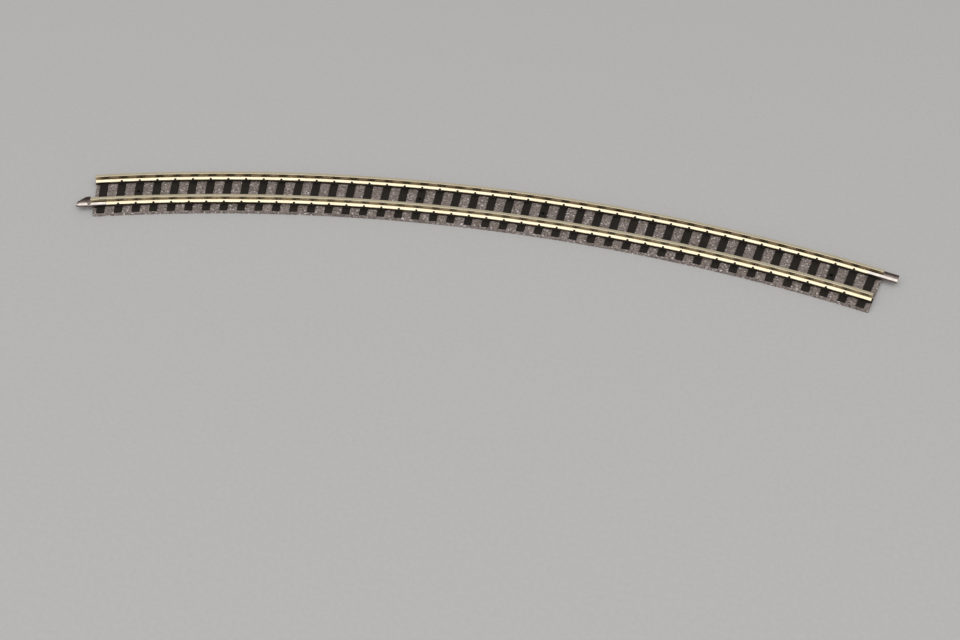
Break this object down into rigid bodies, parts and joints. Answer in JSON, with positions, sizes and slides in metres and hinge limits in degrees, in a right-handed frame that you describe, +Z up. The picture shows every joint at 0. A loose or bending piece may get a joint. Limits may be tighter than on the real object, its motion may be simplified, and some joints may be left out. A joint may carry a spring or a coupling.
{
  "type": "model railway track section",
  "caption": "Curved model railway track section: metal rails clipped to a black sleeper strip in a stony moulded bed, with sheet-metal joiners on opposite rail ends.",
  "frame": {"origin": "under the middle of the track on the base plane, on the centre line between the rails", "axes": "+X along the track's tangent at its middle, towards the end whose outer rail has a joiner; +Y outwards from the centre of the curve; +Z up"},
  "size_m": [0.2313, 0.0316, 0.0036],
  "materials": {
    "ballast": "matte moulded plastic, speckled like crushed stone",
    "sleeper": "matte black-brown plastic with a faint wood grain",
    "rail": "bright drawn nickel silver with a pale gold tone",
    "joiner": "bright folded sheet metal, lightly brushed"
  },
  "bodies": {
    "track": {"ballast_bed": "ballast", "sleeper_strip": "sleeper", "inner_rail": "rail", "outer_rail": "rail"},
    "inner_joiner_body": {"inner_joiner": "joiner"},
    "outer_joiner_body": {"outer_joiner": "joiner"}
  },
  "joints": [
    {"name": "inner_joiner_slide", "type": "slide", "parent": "track", "child": "inner_joiner_body", "axis": [-0.9659, -0.2588, 0], "range_m": [0, 0.0038]},
    {"name": "outer_joiner_slide", "type": "slide", "parent": "track", "child": "outer_joiner_body", "axis": [0.9659, -0.2588, 0], "range_m": [0, 0.0038]}
  ]
}
